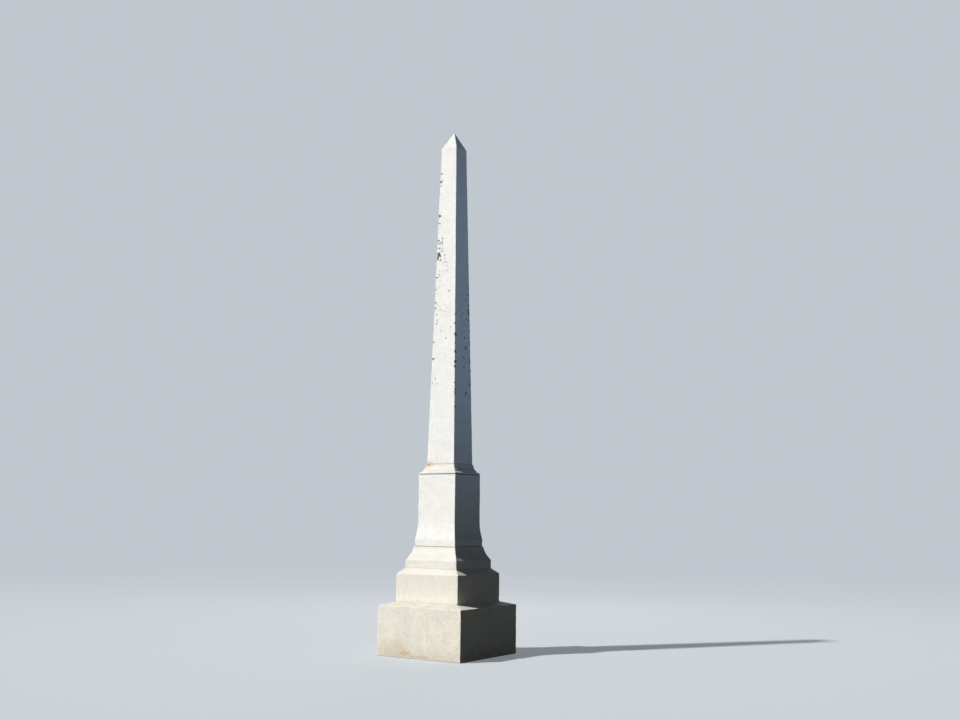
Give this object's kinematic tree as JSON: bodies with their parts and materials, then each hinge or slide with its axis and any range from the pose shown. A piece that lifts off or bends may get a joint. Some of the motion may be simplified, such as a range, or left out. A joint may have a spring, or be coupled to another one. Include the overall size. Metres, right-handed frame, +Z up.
{
  "type": "granite obelisk monument",
  "caption": "Square tapered stone obelisk with a pointed head, on a moulded cap, a tall die with a swept foot, a coved base and stepped bases.",
  "frame": {"origin": "middle of the lower bed of the bottom base, at ground level", "axes": "+Z up along the axis of the shaft, the front face looks along -Y, and the stones are square to X and Y"},
  "size_m": [1.46, 1.46, 7.925],
  "materials": {
    "granite_upper": "fine-axed pale grey granite, weathered, with sparse black lichen",
    "granite_base": "fine-axed buff-grey granite, weathered and earth-stained toward the ground",
    "bedding": "aged lime and cement mortar, raked back and dirty"
  },
  "bodies": {
    "root": {"bottom_base": "granite_base", "second_base_bedding": "bedding", "second_base": "granite_base", "moulded_base_bedding": "bedding", "moulded_base": "granite_upper", "die_bedding": "bedding", "die": "granite_upper", "cap_bedding": "bedding", "cap": "granite_upper", "shaft_bedding": "bedding", "shaft": "granite_upper"}
  },
  "joints": []
}
